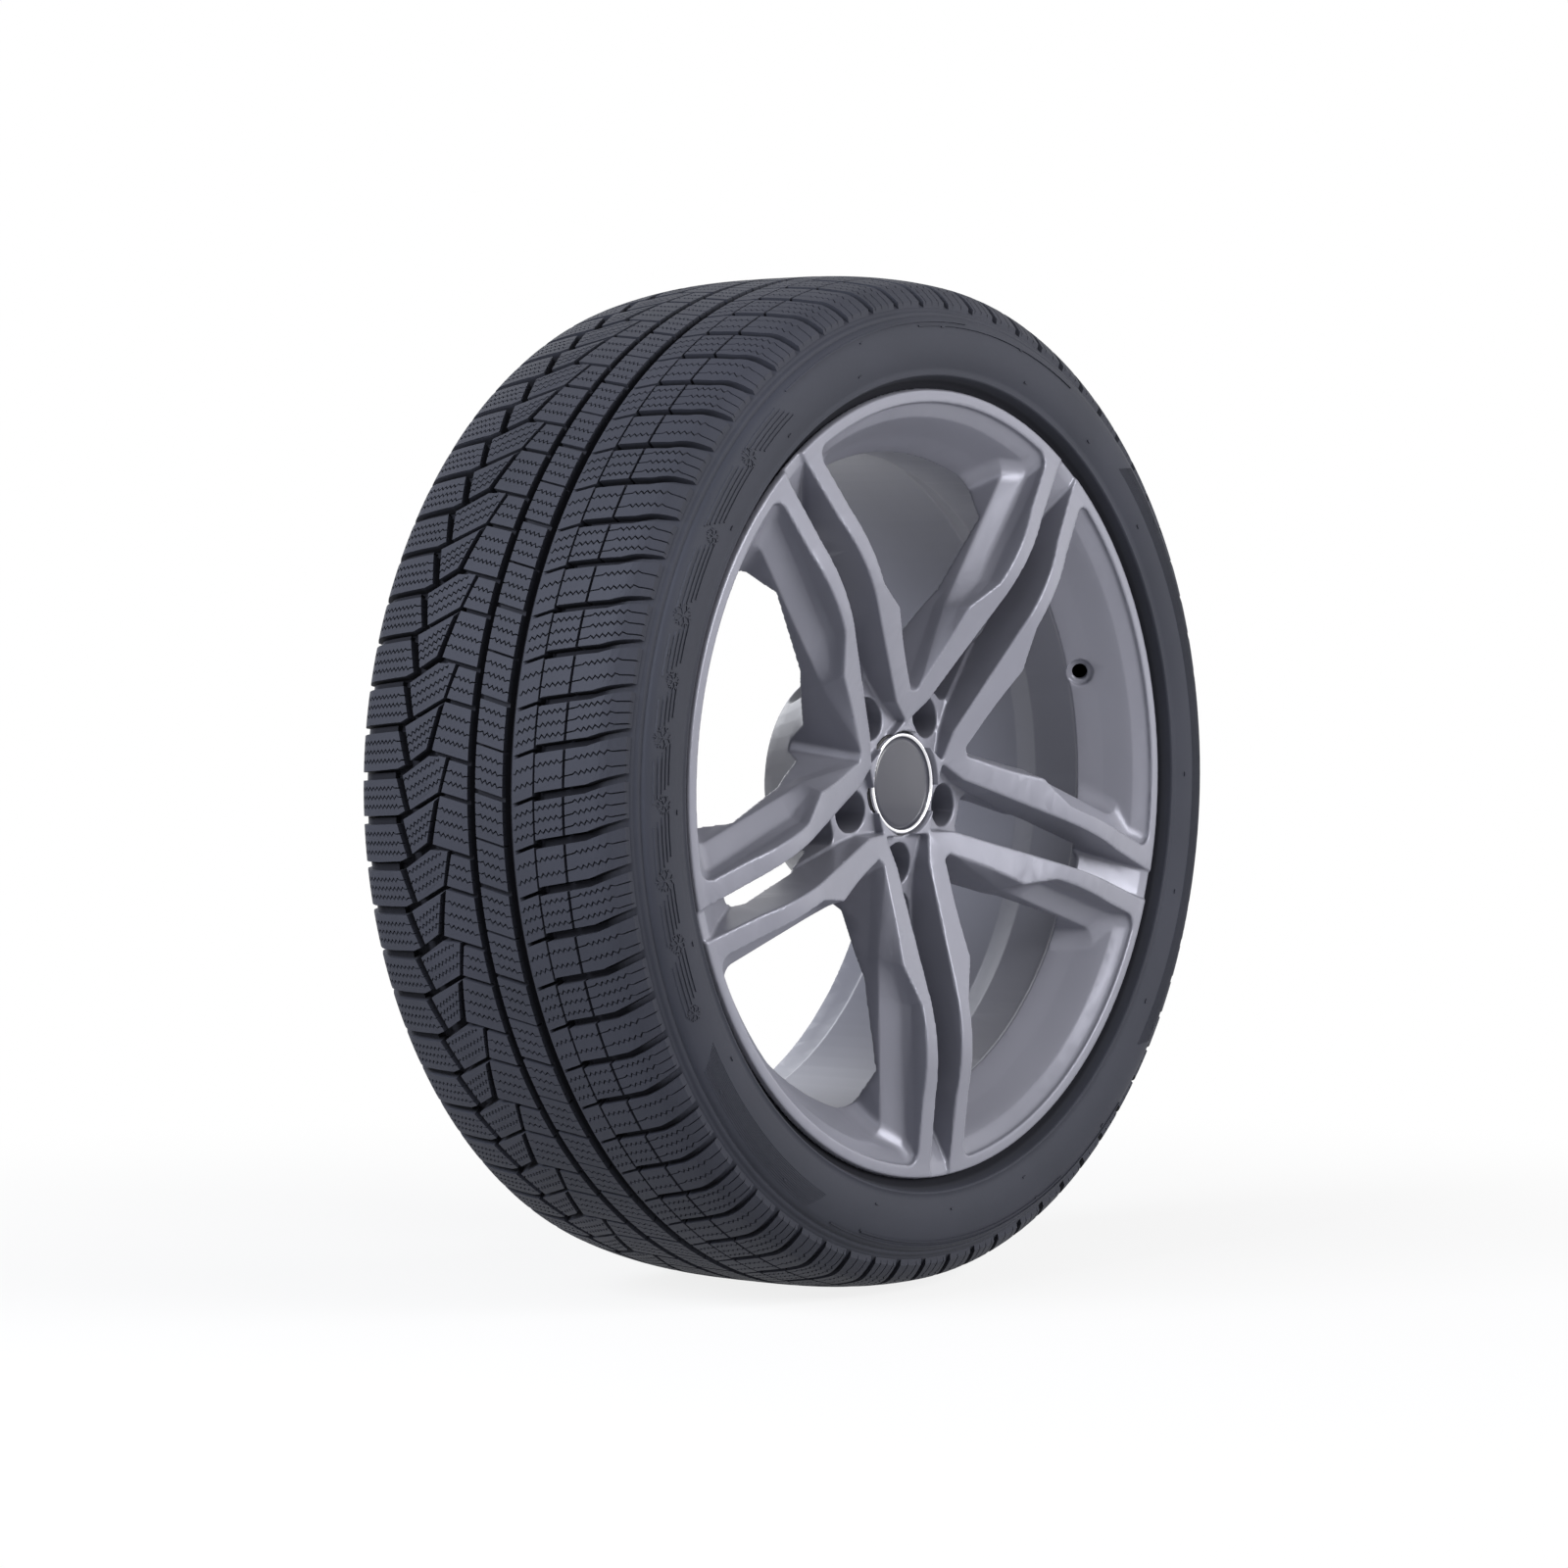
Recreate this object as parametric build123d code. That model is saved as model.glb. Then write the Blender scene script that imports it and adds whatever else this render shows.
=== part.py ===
"""Car wheel with a winter tyre: a one-piece cast wheel, a tubeless tyre and a snap-in centre cap.

Millimetres. The origin is the middle of the tyre on the axle line. The axle runs along Y, the
outer face of the wheel looks towards -Y and +Z is up. The wheel has five V-shaped double spokes.
"""
import math
import os

from build123d import *

# Tyre, 245/40 R20
tyre_radius = 352.0
tread_half_width = 113.0
tread_edge_drop = 21.0
shoulder_half_width = 97.0
shoulder_drop = 8.0
crown_half_width = 45.0
groove_depth = 8.0
undertread = 2.0
belt_thickness = 7.0
buttress_drop = 6.0
section_half_width = 126.0
sidewall_thickness = 9.0
liner_half_width = 85.0
protector_inset = 3.5
upper_wall_inset = 2.0
bead_heel = 4.0
bead_flare = 7.0
bead_toe_rise = 8.0

# Tread pattern, measured across the tread from its middle, outer side negative
pitch_count = 72
outer_groove_from = -36.0
outer_groove_to = -27.5
inner_groove_from = -4.5
inner_groove_to = 2.5
lateral_width = 5.0
rib_slot_width = 3.4
diagonal_width = 5.0
rib_slot_depth = 6.0
rib_slot_slant = 6.0
outer_lateral_from = 50.0
outer_lateral_lean = 12.0
inner_lateral_from = 52.0
inner_lateral_lean = 5.0
inner_lateral_shift = -6.8
diagonal_from = 54.0
diagonal_bend = 25.0
diagonal_to = 19.0
diagonal_rise = 17.8
diagonal_tail = 14.0

# Rim, 8.5 J x 20
rim_half_width = 108.0
flange_radius = 272.0
flange_thickness = 8.5
lip_chamfer = 1.5
bead_seat_radius = 256.4
bead_seat_width = 20.0
bead_seat_drop = 1.7
well_radius = 237.0
well_from = -72.0
well_to = -35.0
well_ramp = 25.0
barrel_radius = 249.0
barrel_wall = 6.8
inner_ledge_from = 98.0
inner_ledge_step = 4.0
inner_end = 124.0
inner_end_radius = 249.0

# Front ring and spokes
ring_outer_radius = 262.3
ring_inner_radius = 254.0
ring_step = 3.2
ring_slope = 5.5
spoke_crown_radius = 182.0
spoke_crown_rise = 9.0
crown_in_reach = 32.0
crown_in_drop = 4.2
crown_out_reach = 34.0
crown_out_drop = 3.6
spoke_thickness = 32.0
rear_root_reach = 22.0
rear_root_depth = 42.0
rear_mid_reach = 64.0
rear_mid_drop = 8.0
rear_top_reach = 18.0
spoke_count = 5
crotch_width = 7.0
wheel_turn = 0.6

# Sections of a V window: crotch, kink and bend as (across, along) the V, angle of its rim end, corner radius
window_mouth = (30.0, (45.5, 122.0), (68.5, 138.0), 30.3, 9.0)
window_edge = (45.0, (40.0, 122.0), (65.5, 138.5), 30.3, 9.0)
window_scoop = (52.0, (37.7, 122.0), (62.5, 139.5), 29.7, 10.0)
window_brink = (64.0, (33.5, 121.6), (49.5, 142.4), 26.0, 11.0)
window_back = (68.5, (32.3, 121.5), (47.5, 143.0), 25.2, 12.0)
window_foot = (118.0, (15.0, 132.0), (28.0, 152.0), 16.0, 12.0)
window_overshoot = 6.0
scoop_depth = 19.5
brink_depth = 28.5
back_depth = 37.5
scoop_ring_inset = 1.5
brink_ring_inset = 7.5
back_ring_inset = 13.5
foot_ring_inset = 69.0
foot_reach = 10.0

# Pocket and slot between two neighbouring Vs, as (across, along) the middle line between them
pocket_edge = [(26.6, 36.0), (20.6, 56.5), (18.8, 93.0), (15.3, 160.0), (12.7, 215.0), (11.4, 276.0)]
pocket_draft = 4.0
pocket_land_drop = 6.0
pocket_boss_drop = 4.0
pocket_deep_from = 160.0
pocket_deep_to = 198.0
pocket_depth = 42.0
pocket_rise_radius = 240.0
pocket_rise_depth = 15.0
pocket_lip_drop = 0.8
slot_edge = [(12.5, 150.0), (8.5, 214.0)]
slot_start_width = 15.0
slot_corner = 7.0

# Hub and bolt holes
hub_offset = 25.0
hub_radius = 76.0
hub_height = 64.0
hub_bore_radius = 33.3
hub_bore_length = 37.0
bolt_circle_radius = 56.0
bolt_hole_radius = 7.5
bolt_pocket_radius = 15.0
bolt_seat_height = 18.0
bolt_seat_width = 6.0
bolt_seat_depth = 7.0
bolt_boss_wall = 6.0
hub_chamfer = 2.0
hub_land = 3.5

# Valve hole, in the middle of one window
valve_hole_radius = 5.65
valve_spotface_radius = 9.5
valve_spotface_depth = 1.8
valve_drop = 7.0
valve_drill_length = 80.0
valve_window = 1

# Centre cap
cap_radius = 36.2
cap_seat_depth = 9.5
cap_gap = 0.3
cap_bore_radius = 29.0
cap_bore_length = 7.0
cap_relief_radius = 35.0
cap_flange = 3.0
finger_count = 8
finger_length = 13.0
finger_wall = 2.2
finger_arc = 28.0
finger_hook = 1.2
spring_wire_radius = 1.0
trim_outer_radius = 35.3
trim_inner_radius = 32.0
trim_height = 3.6
trim_flat = 1.6
badge_dome = 1.6
badge_thickness = 1.8

# Worked-out places along the axle, outer side negative
lip_front = -(rim_half_width + flange_thickness)
ring_front = lip_front + ring_step
ring_back = ring_front + ring_slope
crown_front = lip_front - spoke_crown_rise
hub_face = -hub_offset
hub_front = hub_face - hub_height
cap_seat = hub_front + cap_seat_depth
spoke_step = 360.0 / spoke_count
first_spoke = -wheel_turn

# Worked-out radii of the tyre
shoulder_radius = tyre_radius - shoulder_drop
tread_edge_radius = tyre_radius - tread_edge_drop
buttress_radius = tread_edge_radius - buttress_drop
section_radius = (flange_radius + tread_edge_radius) / 2
upper_wall_radius = (section_radius + buttress_radius) / 2
protector_radius = (flange_radius + section_radius) / 2
flare_radius = (flange_radius + protector_radius) / 2


def across(y):
    """The plane across the axle at y, with +X to its right and +Z up."""
    return Plane(origin=(0, y, 0), x_dir=(1, 0, 0), z_dir=(0, -1, 0))


def spun(*edges):
    """Revolves a closed outline of (radius, y) edges round the axle."""
    return revolve(make_face(edges), Axis.Y)


def around(shape, count, start=0.0):
    """Copies a shape evenly round the axle, clockwise as seen from the outer side."""
    return [Rot(0, start + 360.0 / count * k, 0) * shape for k in range(count)]


def mirrored(points):
    """Closes a half outline with its mirror image in the second axis."""
    return points + [(-x, y) for x, y in reversed(points) if x > 0]


# Tyre
def tread_drum(lower):
    """The tread's outer envelope, flat from block to block, lowered by a depth."""
    stations = [
        (-tread_half_width, tread_edge_radius),
        (-shoulder_half_width, shoulder_radius),
        (-crown_half_width, tyre_radius),
        (crown_half_width, tyre_radius),
        (shoulder_half_width, shoulder_radius),
        (tread_half_width, tread_edge_radius),
    ]
    rings = [across(y) * RegularPolygon(r - lower, pitch_count) for y, r in stations]
    return loft(rings, ruled=True)


def crown_line(lower):
    """Points of the crown from the outer to the inner side, lowered by a depth."""
    outer = [(shoulder_radius - lower, -shoulder_half_width), (tyre_radius - lower, -crown_half_width)]
    return outer + [(r, -y) for r, y in reversed(outer)]


def groove_ring(y_from, y_to):
    """The void of a straight groove round the tread."""
    blank = Circle(tyre_radius + groove_depth) - RegularPolygon(tyre_radius - groove_depth, pitch_count)
    return extrude(across(y_to) * blank, y_to - y_from)


def side_slot(side, y_start, lean):
    """The void of a lateral groove that runs out over a shoulder, its floor following the crown."""
    reach = tread_half_width + groove_depth
    floor = [(y_start, tyre_radius), (shoulder_half_width, shoulder_radius), (reach, tread_edge_radius)]
    outline = [(side * y, r - groove_depth) for y, r in floor]
    outline += [(side * y, tyre_radius + groove_depth) for y in (reach, y_start)]
    slab = extrude(Plane.YZ * make_face(Polyline(*outline, close=True)), lateral_width / 2, both=True)
    pivot = Pos(0, side * y_start, 0)
    return pivot * Rot(0, 0, lean) * pivot.inverse() * slab


def strip(points, width, depth):
    """The void of a groove along points (x round the tread, y across it)."""
    outline = Plane.XY.offset(tyre_radius - depth) * trace(Polyline(*points), width)
    return extrude(outline, depth + groove_depth)


def pitch_voids():
    """The cross grooves of one pitch at the top of the tyre, as separate voids."""
    bend = inner_lateral_shift + diagonal_rise
    half_slant = rib_slot_slant / 2
    rib_a = [(half_slant, inner_groove_from + 1), (-half_slant, outer_groove_to - 1)]
    rib_b = [(bend - half_slant, diagonal_bend), (half_slant, inner_groove_to - 1)]
    tail = (bend + diagonal_tail, diagonal_to)
    diagonal = [(inner_lateral_shift, diagonal_from), (bend, diagonal_bend), tail]
    return [
        side_slot(-1, outer_lateral_from, outer_lateral_lean),
        side_slot(1, inner_lateral_from, inner_lateral_lean).translate((inner_lateral_shift, 0, 0)),
        strip(rib_a, rib_slot_width, rib_slot_depth),
        strip(rib_b, rib_slot_width, rib_slot_depth),
        strip(diagonal, diagonal_width, groove_depth),
    ]


def make_tread():
    """The tread ring with its grooves, its inside sunk into the belt."""
    sunk = belt_thickness / 4
    edge = buttress_radius - sunk
    past = tread_half_width + groove_depth
    ring_line = crown_line(groove_depth + undertread + sunk)
    outline = [(edge, -past), (edge, -tread_half_width), *ring_line, (edge, tread_half_width), (edge, past)]
    outline += [(0, past), (0, -past)]
    inside = spun(Polyline(*outline, close=True))
    ring = tread_drum(0.0) - inside
    voids = [copy for void in pitch_voids() for copy in around(void, pitch_count)]
    rings = [groove_ring(outer_groove_from, outer_groove_to), groove_ring(inner_groove_from, inner_groove_to)]
    return ring - rings - voids


def make_tyre():
    """The whole tyre: tread, belt, sidewalls and beads in one moulding."""
    belt = crown_line(groove_depth + undertread)
    liner_radius = tyre_radius - groove_depth - undertread - belt_thickness
    liner = [(liner_radius, liner_half_width), (liner_radius, -liner_half_width)]
    wall_in = section_half_width - sidewall_thickness
    bead_toe = rim_half_width - bead_seat_width
    side = [
        (buttress_radius, tread_half_width),
        (upper_wall_radius, section_half_width - upper_wall_inset),
        (section_radius, section_half_width),
        (protector_radius, section_half_width - protector_inset),
        (flare_radius, rim_half_width + bead_flare),
        (flange_radius, rim_half_width + bead_heel),
        (bead_seat_radius, rim_half_width),
        (bead_seat_radius - bead_seat_drop, bead_toe),
        (flange_radius, bead_toe + bead_toe_rise),
        (section_radius, wall_in),
    ]
    outer = [(r, -y) for r, y in side]
    section = outer[7::-1] + belt + side + liner + outer[:7:-1]
    return make_tread() + spun(Polyline(*section, close=True))


# Wheel
def rim_tyre_side():
    """The rim's outer surface under the tyre, from the outer to the inner lip."""
    seat_end = bead_seat_radius - bead_seat_drop
    toe = rim_half_width - bead_seat_width
    ramp_end = well_to + well_ramp
    lip_edge = rim_half_width + flange_thickness
    return [
        (flange_radius, -rim_half_width - bead_heel),
        (bead_seat_radius, -rim_half_width),
        (seat_end, -toe),
        (well_radius, well_from),
        (well_radius, well_to),
        (barrel_radius, ramp_end),
        (barrel_radius, toe - inner_ledge_step),
        (seat_end, toe),
        (bead_seat_radius, rim_half_width),
        (flange_radius, rim_half_width + bead_heel),
        (flange_radius - lip_chamfer, lip_edge),
    ]


def barrel_inside():
    """The inside of the barrel from the inner end to where the spokes meet it."""
    inside = barrel_radius - barrel_wall
    return [
        (inner_end_radius, inner_end),
        (inside + inner_ledge_step, inner_ledge_from),
        (inside, inner_ledge_from - inner_ledge_step),
        (inside, well_to + well_ramp),
        (well_radius - barrel_wall, well_to),
        (well_radius - barrel_wall, well_from),
    ]


def wheel_blank():
    """The wheel before its windows are cut: barrel, spoke disc and hub in one revolved section."""
    rear_crown = crown_front + spoke_thickness
    foot = (hub_radius, hub_face + hub_chamfer)
    root = (hub_radius + rear_root_reach, hub_face - rear_root_depth)
    rear_mid = (hub_radius + rear_mid_reach, rear_crown + rear_mid_drop)
    rear_top = (spoke_crown_radius + rear_top_reach, rear_crown)
    barrel = barrel_inside()
    tyre_side = rim_tyre_side()
    lip = (flange_radius - lip_chamfer, lip_front)
    slope_start = (cap_radius + cap_gap + hub_land, hub_front)
    slope_end = (spoke_crown_radius - crown_in_reach, crown_front + crown_in_drop)
    crown = (spoke_crown_radius, crown_front)
    crown_end = (spoke_crown_radius + crown_out_reach, crown_front + crown_out_drop)
    ring = (ring_outer_radius, lip_front)
    bore_front = cap_seat + cap_bore_length
    bore_end = hub_face - hub_bore_length
    hub = [
        (cap_radius + cap_gap, hub_front),
        (cap_radius + cap_gap, cap_seat),
        (cap_bore_radius, cap_seat),
        (cap_bore_radius, bore_front),
        (cap_relief_radius, bore_front),
        (cap_relief_radius, bore_end),
        (hub_bore_radius, bore_end),
        (hub_bore_radius, hub_face),
        (hub_radius - hub_chamfer, hub_face),
        foot,
    ]
    return spun(
        Polyline(*hub, root, rear_mid, rear_top, *reversed(barrel)),
        Polyline(barrel[0], *reversed(tyre_side)),
        Polyline(tyre_side[0], lip, ring, crown_end),
        ThreePointArc(crown_end, crown, slope_end),
        Polyline(slope_end, slope_start, hub[0]),
    )


def window_section(y, rim_radius, section):
    """One cross-section of a V window at y, on the plane across the axle."""
    crotch, kink, bend, rim_angle, corner = section
    angle = math.radians(rim_angle)
    end = (rim_radius * math.sin(angle), rim_radius * math.cos(angle))
    half = [(crotch_width / 2, crotch), kink, bend, end]
    sides = Polyline(*[(-x, z) for x, z in reversed(half)], *half)
    rim = ThreePointArc(end, (0.0, rim_radius), (-end[0], end[1]))
    face = make_face([*sides.edges(), rim])
    return across(y) * fillet(face.vertices().group_by(Axis.Y)[-1], corner)


def window_void():
    """The void of one V window: steep beside the front faces, scooped out, then straight through the back."""
    return loft(
        [
            window_section(crown_front - window_overshoot, ring_outer_radius, window_mouth),
            window_section(ring_front, ring_outer_radius, window_edge),
            window_section(crown_front + scoop_depth, ring_inner_radius - scoop_ring_inset, window_scoop),
            window_section(crown_front + brink_depth, ring_inner_radius - brink_ring_inset, window_brink),
            window_section(crown_front + back_depth, ring_inner_radius - back_ring_inset, window_back),
            window_section(hub_face + foot_reach, ring_inner_radius - foot_ring_inset, window_foot),
        ],
        ruled=True,
    )


def twin_pocket():
    """The void between two neighbouring Vs: lug pocket land, twin arms and the dip in the lip."""
    above = crown_front - window_overshoot
    back = [(x - pocket_draft, z) for x, z in pocket_edge]
    top = across(above) * make_face(Polyline(*mirrored(pocket_edge), close=True))
    low = across(hub_face - hub_height / 2) * make_face(Polyline(*mirrored(back), close=True))
    wedge = loft([top, low], ruled=True)
    land = hub_front + pocket_land_drop
    inner = cap_radius - pocket_draft
    outer = flange_radius + pocket_draft
    floor = [
        (inner, land),
        (bolt_circle_radius + bolt_pocket_radius + bolt_boss_wall, land + pocket_boss_drop),
        (pocket_deep_from, crown_front + pocket_depth),
        (pocket_deep_to, crown_front + pocket_depth),
        (pocket_rise_radius, lip_front + pocket_rise_depth),
        (ring_outer_radius, ring_front),
        (outer, lip_front + pocket_lip_drop),
    ]
    return wedge & spun(Polyline(*floor, (outer, above), (inner, above), close=True))


def twin_slot():
    """The slot right through between two arms, from the lug boss outwards."""
    start = bolt_circle_radius + bolt_pocket_radius + bolt_boss_wall
    outline = make_face(Polyline(*mirrored([(slot_start_width, start), *slot_edge]), close=True))
    outline = fillet(outline.vertices(), slot_corner)
    return extrude(across(0.0) * outline, -crown_front)


def bolt_holes():
    """The five bolt holes with their pockets and seats."""
    seat = hub_face - bolt_seat_height
    outline = [
        (0, hub_face + hub_chamfer),
        (bolt_hole_radius, hub_face + hub_chamfer),
        (bolt_hole_radius, seat + bolt_seat_depth),
        (bolt_hole_radius + bolt_seat_width, seat),
        (bolt_pocket_radius, seat),
        (bolt_pocket_radius, crown_front),
        (0, crown_front),
    ]
    hole = Pos(0, 0, bolt_circle_radius) * spun(Polyline(*outline, close=True))
    return around(hole, spoke_count, first_spoke + spoke_step / 2)


def valve_hole():
    """The valve hole, square to the slope of the barrel, with its spot face."""
    run = (ring_inner_radius - well_radius + barrel_wall, ring_back - well_from)
    slope = math.degrees(math.atan2(run[0], -run[1]))
    radius = (ring_inner_radius + well_radius - barrel_wall) / 2 - valve_drop
    y = well_from + (radius - well_radius + barrel_wall) * run[1] / run[0]
    inward = (Align.CENTER, Align.CENTER, Align.MAX)
    spotface = Cylinder(valve_spotface_radius, valve_drill_length / 2, align=inward)
    drill = Cylinder(valve_hole_radius, valve_drill_length) + Pos(0, 0, valve_spotface_depth) * spotface
    placed = Pos(0, y, radius) * Rot(-slope, 0, 0) * drill
    return Rot(0, first_spoke + spoke_step * valve_window, 0) * placed


def make_wheel():
    """The cast wheel."""
    wheel = wheel_blank()
    cuts = around(window_void(), spoke_count, first_spoke)
    cuts += around(twin_pocket(), spoke_count, first_spoke + spoke_step / 2)
    cuts += around(twin_slot(), spoke_count, first_spoke + spoke_step / 2)
    for cut in cuts:
        wheel = wheel - cut
    return wheel - bolt_holes() - valve_hole()


# Centre cap
cap_front = cap_seat - cap_flange
finger_outer = cap_bore_radius - cap_gap
finger_inner = finger_outer - finger_wall
hook_front = cap_seat + cap_bore_length + finger_hook + cap_gap


def make_cap_body():
    """The moulded cap: a disc that fills the recess, with snap fingers that hook behind the bore."""
    rim = [(cap_radius, cap_seat), (cap_radius, cap_front)]
    disc = spun(Polyline((0, cap_seat), *rim, (0, cap_front), close=True))
    finger_end = cap_seat + finger_length
    finger = spun(
        Polyline(
            (finger_inner, cap_seat),
            (finger_outer, cap_seat),
            (finger_outer, hook_front),
            (finger_outer + finger_hook, hook_front + finger_hook),
            (finger_outer, finger_end),
            (finger_inner, finger_end),
            close=True,
        )
    )
    reach = 2 * cap_radius
    half = math.radians(finger_arc / 2)
    sector = Polyline((0, 0), (reach, -reach * math.tan(half)), (reach, reach * math.tan(half)), close=True)
    slice_tool = extrude(across(finger_end + 1) * make_face(sector), finger_length + 1)
    return disc + around(finger & slice_tool, finger_count)


def make_cap_spring_ring():
    """The split wire ring that spreads the fingers."""
    centre = (finger_inner - spring_wire_radius, cap_seat + finger_length - 2 * spring_wire_radius)
    wire = Pos(*centre) * RegularPolygon(spring_wire_radius, 6)
    return revolve(wire, Axis.Y, 345)


def make_cap_trim_ring():
    """The bright ring on the rim of the cap, chamfered on both sides of its front."""
    middle = (trim_outer_radius + trim_inner_radius) / 2
    front = cap_front - trim_height
    shoulder = front + trim_height / 3
    outline = [
        (trim_inner_radius, cap_front),
        (trim_outer_radius, cap_front),
        (trim_outer_radius, shoulder),
        (middle + trim_flat / 2, front),
        (middle - trim_flat / 2, front),
        (trim_inner_radius, shoulder),
    ]
    return spun(Polyline(*outline, close=True))


def make_cap_badge():
    """The plain disc inside the bright ring, domed to a part of a sphere."""
    edge = cap_front - badge_thickness
    radius = trim_inner_radius - cap_gap / 2
    sphere = (radius ** 2 + badge_dome ** 2) / (2 * badge_dome)
    ball = Pos(0, edge - badge_dome + sphere, 0) * Sphere(sphere)
    front = edge - 2 * badge_dome
    disc = spun(Polyline((0, front), (radius, front), (radius, cap_front), (0, cap_front), close=True))
    return disc & ball


parts = {
    "tyre": make_tyre,
    "alloy_wheel": make_wheel,
    "cap_body": make_cap_body,
    "cap_spring_ring": make_cap_spring_ring,
    "cap_trim_ring": make_cap_trim_ring,
    "cap_badge": make_cap_badge,
}
os.makedirs("parts", exist_ok=True)
for name, make in parts.items():
    export_step(make(), f"parts/{name}.step")
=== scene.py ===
"""Looks of a car wheel with a winter tyre: moulded tread and sidewalls, painted casting, cap and studio.

The axle runs along Y, the outer face looks towards -Y and +Z is up. Shapes are worked out in millimetres
and written to the meshes in metres.
"""
import math

import bmesh
import bpy
from mathutils import Matrix, Vector


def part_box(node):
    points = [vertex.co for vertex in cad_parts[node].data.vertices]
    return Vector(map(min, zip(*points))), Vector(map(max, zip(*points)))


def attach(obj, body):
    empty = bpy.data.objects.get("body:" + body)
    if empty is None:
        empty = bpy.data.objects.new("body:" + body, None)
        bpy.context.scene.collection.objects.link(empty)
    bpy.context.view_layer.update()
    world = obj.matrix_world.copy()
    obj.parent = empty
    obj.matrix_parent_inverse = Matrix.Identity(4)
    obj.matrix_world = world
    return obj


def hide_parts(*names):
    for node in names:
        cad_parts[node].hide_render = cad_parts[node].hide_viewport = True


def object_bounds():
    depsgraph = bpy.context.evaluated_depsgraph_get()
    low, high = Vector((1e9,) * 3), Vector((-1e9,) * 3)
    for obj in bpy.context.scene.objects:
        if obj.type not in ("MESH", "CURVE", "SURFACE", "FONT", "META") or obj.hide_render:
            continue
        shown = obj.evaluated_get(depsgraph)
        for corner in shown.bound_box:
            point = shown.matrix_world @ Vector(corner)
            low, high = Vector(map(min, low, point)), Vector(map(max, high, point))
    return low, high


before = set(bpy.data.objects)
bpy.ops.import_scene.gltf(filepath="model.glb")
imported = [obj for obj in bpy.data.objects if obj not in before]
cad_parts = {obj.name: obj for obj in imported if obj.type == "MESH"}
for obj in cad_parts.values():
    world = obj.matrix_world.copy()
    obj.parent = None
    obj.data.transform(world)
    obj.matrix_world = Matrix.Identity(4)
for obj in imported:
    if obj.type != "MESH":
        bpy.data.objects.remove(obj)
cad_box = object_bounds()

MM = 0.001
FULL_TURN = 2 * math.pi
SAME_PLACE = 1e-6
TYRE_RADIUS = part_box("tyre")[1].x / MM

# Tread across its width, outer side negative
TREAD_EDGE = 113.0
SHOULDER = 97.0
SHOULDER_DROP = 8.0
EDGE_DROP = 21.0
GROOVE_DEPTH = 8.0
SUNK = 0.6

# Tread round its length, in pitches of the pattern
PITCHES = 72
PITCH = FULL_TURN * TYRE_RADIUS / PITCHES

# Zigzag cuts in the blocks
SIPE_STEP = 2.1
SIPE_SWING = 1.2
SIPE_HALF_WIDTH = 0.48
SIPE_DEPTH = 3.4
SIPE_CLEAR = 1.6
SIPE_PLAIN_END = 0.5


# Pieces
def keep_piece(name, mesh, material, slot, *replaced):
    """Adds a finished mesh as a piece on the wheel that stands for the named CAD nodes."""
    piece = bpy.data.objects.new(name, mesh)
    bpy.context.scene.collection.objects.link(piece)
    mesh.materials.clear()
    mesh.materials.append(material)
    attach(piece, "root")
    if replaced:
        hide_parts(*replaced)
    return piece


def new_piece(name, body, material, slot, *replaced):
    """Turns a bmesh into such a piece."""
    mesh = bpy.data.meshes.new(name)
    body.to_mesh(mesh)
    body.free()
    return keep_piece(name, mesh, material, slot, *replaced)


def pour(target, source, shift=0.0):
    """Adds one bmesh to another, moved along X, and frees it."""
    mesh = bpy.data.meshes.new("poured")
    source.to_mesh(mesh)
    source.free()
    mesh.transform(Matrix.Translation((shift, 0, 0)))
    target.from_mesh(mesh)
    bpy.data.meshes.remove(mesh)


def turned(outline, steps):
    """A body turned about the axle from (radius, across) points, closed or from axle to axle."""
    body = bmesh.new()
    ring = [body.verts.new((r * MM, y * MM, 0.0)) for r, y in outline]
    following = ring[1:] + ring[:1] if outline[0][0] > 0 else ring[1:]
    edges = [body.edges.new(pair) for pair in zip(ring, following)]
    bmesh.ops.spin(body, geom=ring + edges, cent=(0, 0, 0), axis=(0, 1, 0), angle=FULL_TURN, steps=steps,
                   use_merge=True, use_duplicate=False)
    bmesh.ops.remove_doubles(body, verts=list(body.verts), dist=SAME_PLACE)
    bmesh.ops.recalc_face_normals(body, faces=list(body.faces))
    for face in body.faces:
        face.smooth = True
    return body


# Node helpers
def new_material(name):
    """A material with nothing but a Principled shader, its node tree and that shader."""
    material = bpy.data.materials.new(name)
    material.use_nodes = True
    tree = material.node_tree
    return material, tree, tree.nodes["Principled BSDF"]


def number(tree, operation, first, second=0.0):
    """A math node whose inputs are sockets or plain numbers; gives its output."""
    node = tree.nodes.new("ShaderNodeMath")
    node.operation = operation
    for socket, value in zip(node.inputs, (first, second)):
        if isinstance(value, bpy.types.NodeSocket):
            tree.links.new(value, socket)
        else:
            socket.default_value = value
    return node.outputs[0]


def ramp(tree, value, start, end, low, high):
    """A smooth run from low to high while a value goes from start to end."""
    node = tree.nodes.new("ShaderNodeMapRange")
    node.interpolation_type = "SMOOTHSTEP"
    for name, limit in (("From Min", start), ("From Max", end), ("To Min", low), ("To Max", high)):
        node.inputs[name].default_value = limit
    tree.links.new(value, node.inputs["Value"])
    return node.outputs["Result"]


# Finishes, and the painted shade down in the tyre's grooves
GRAIN_HEIGHT = 0.0004
BLOTCH_TONES = (0.32, 0.68)
# Painted shade: the colour laid on the rubber down in the grooves and in the channel beside the flange
PAINTED_GROOVE_SHADE = (0.004, 0.004, 0.006, 1)

# Where the painted shade of the rubber runs in or out: depth in a groove, share of the way to the shoulder,
# and radius beside the flange
GROOVE_SHADE = (0.8, 4.5)
SHOULDER_FADE = (0.99, 1.12)
CHANNEL_FADE = (276.5, 280.5)


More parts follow.
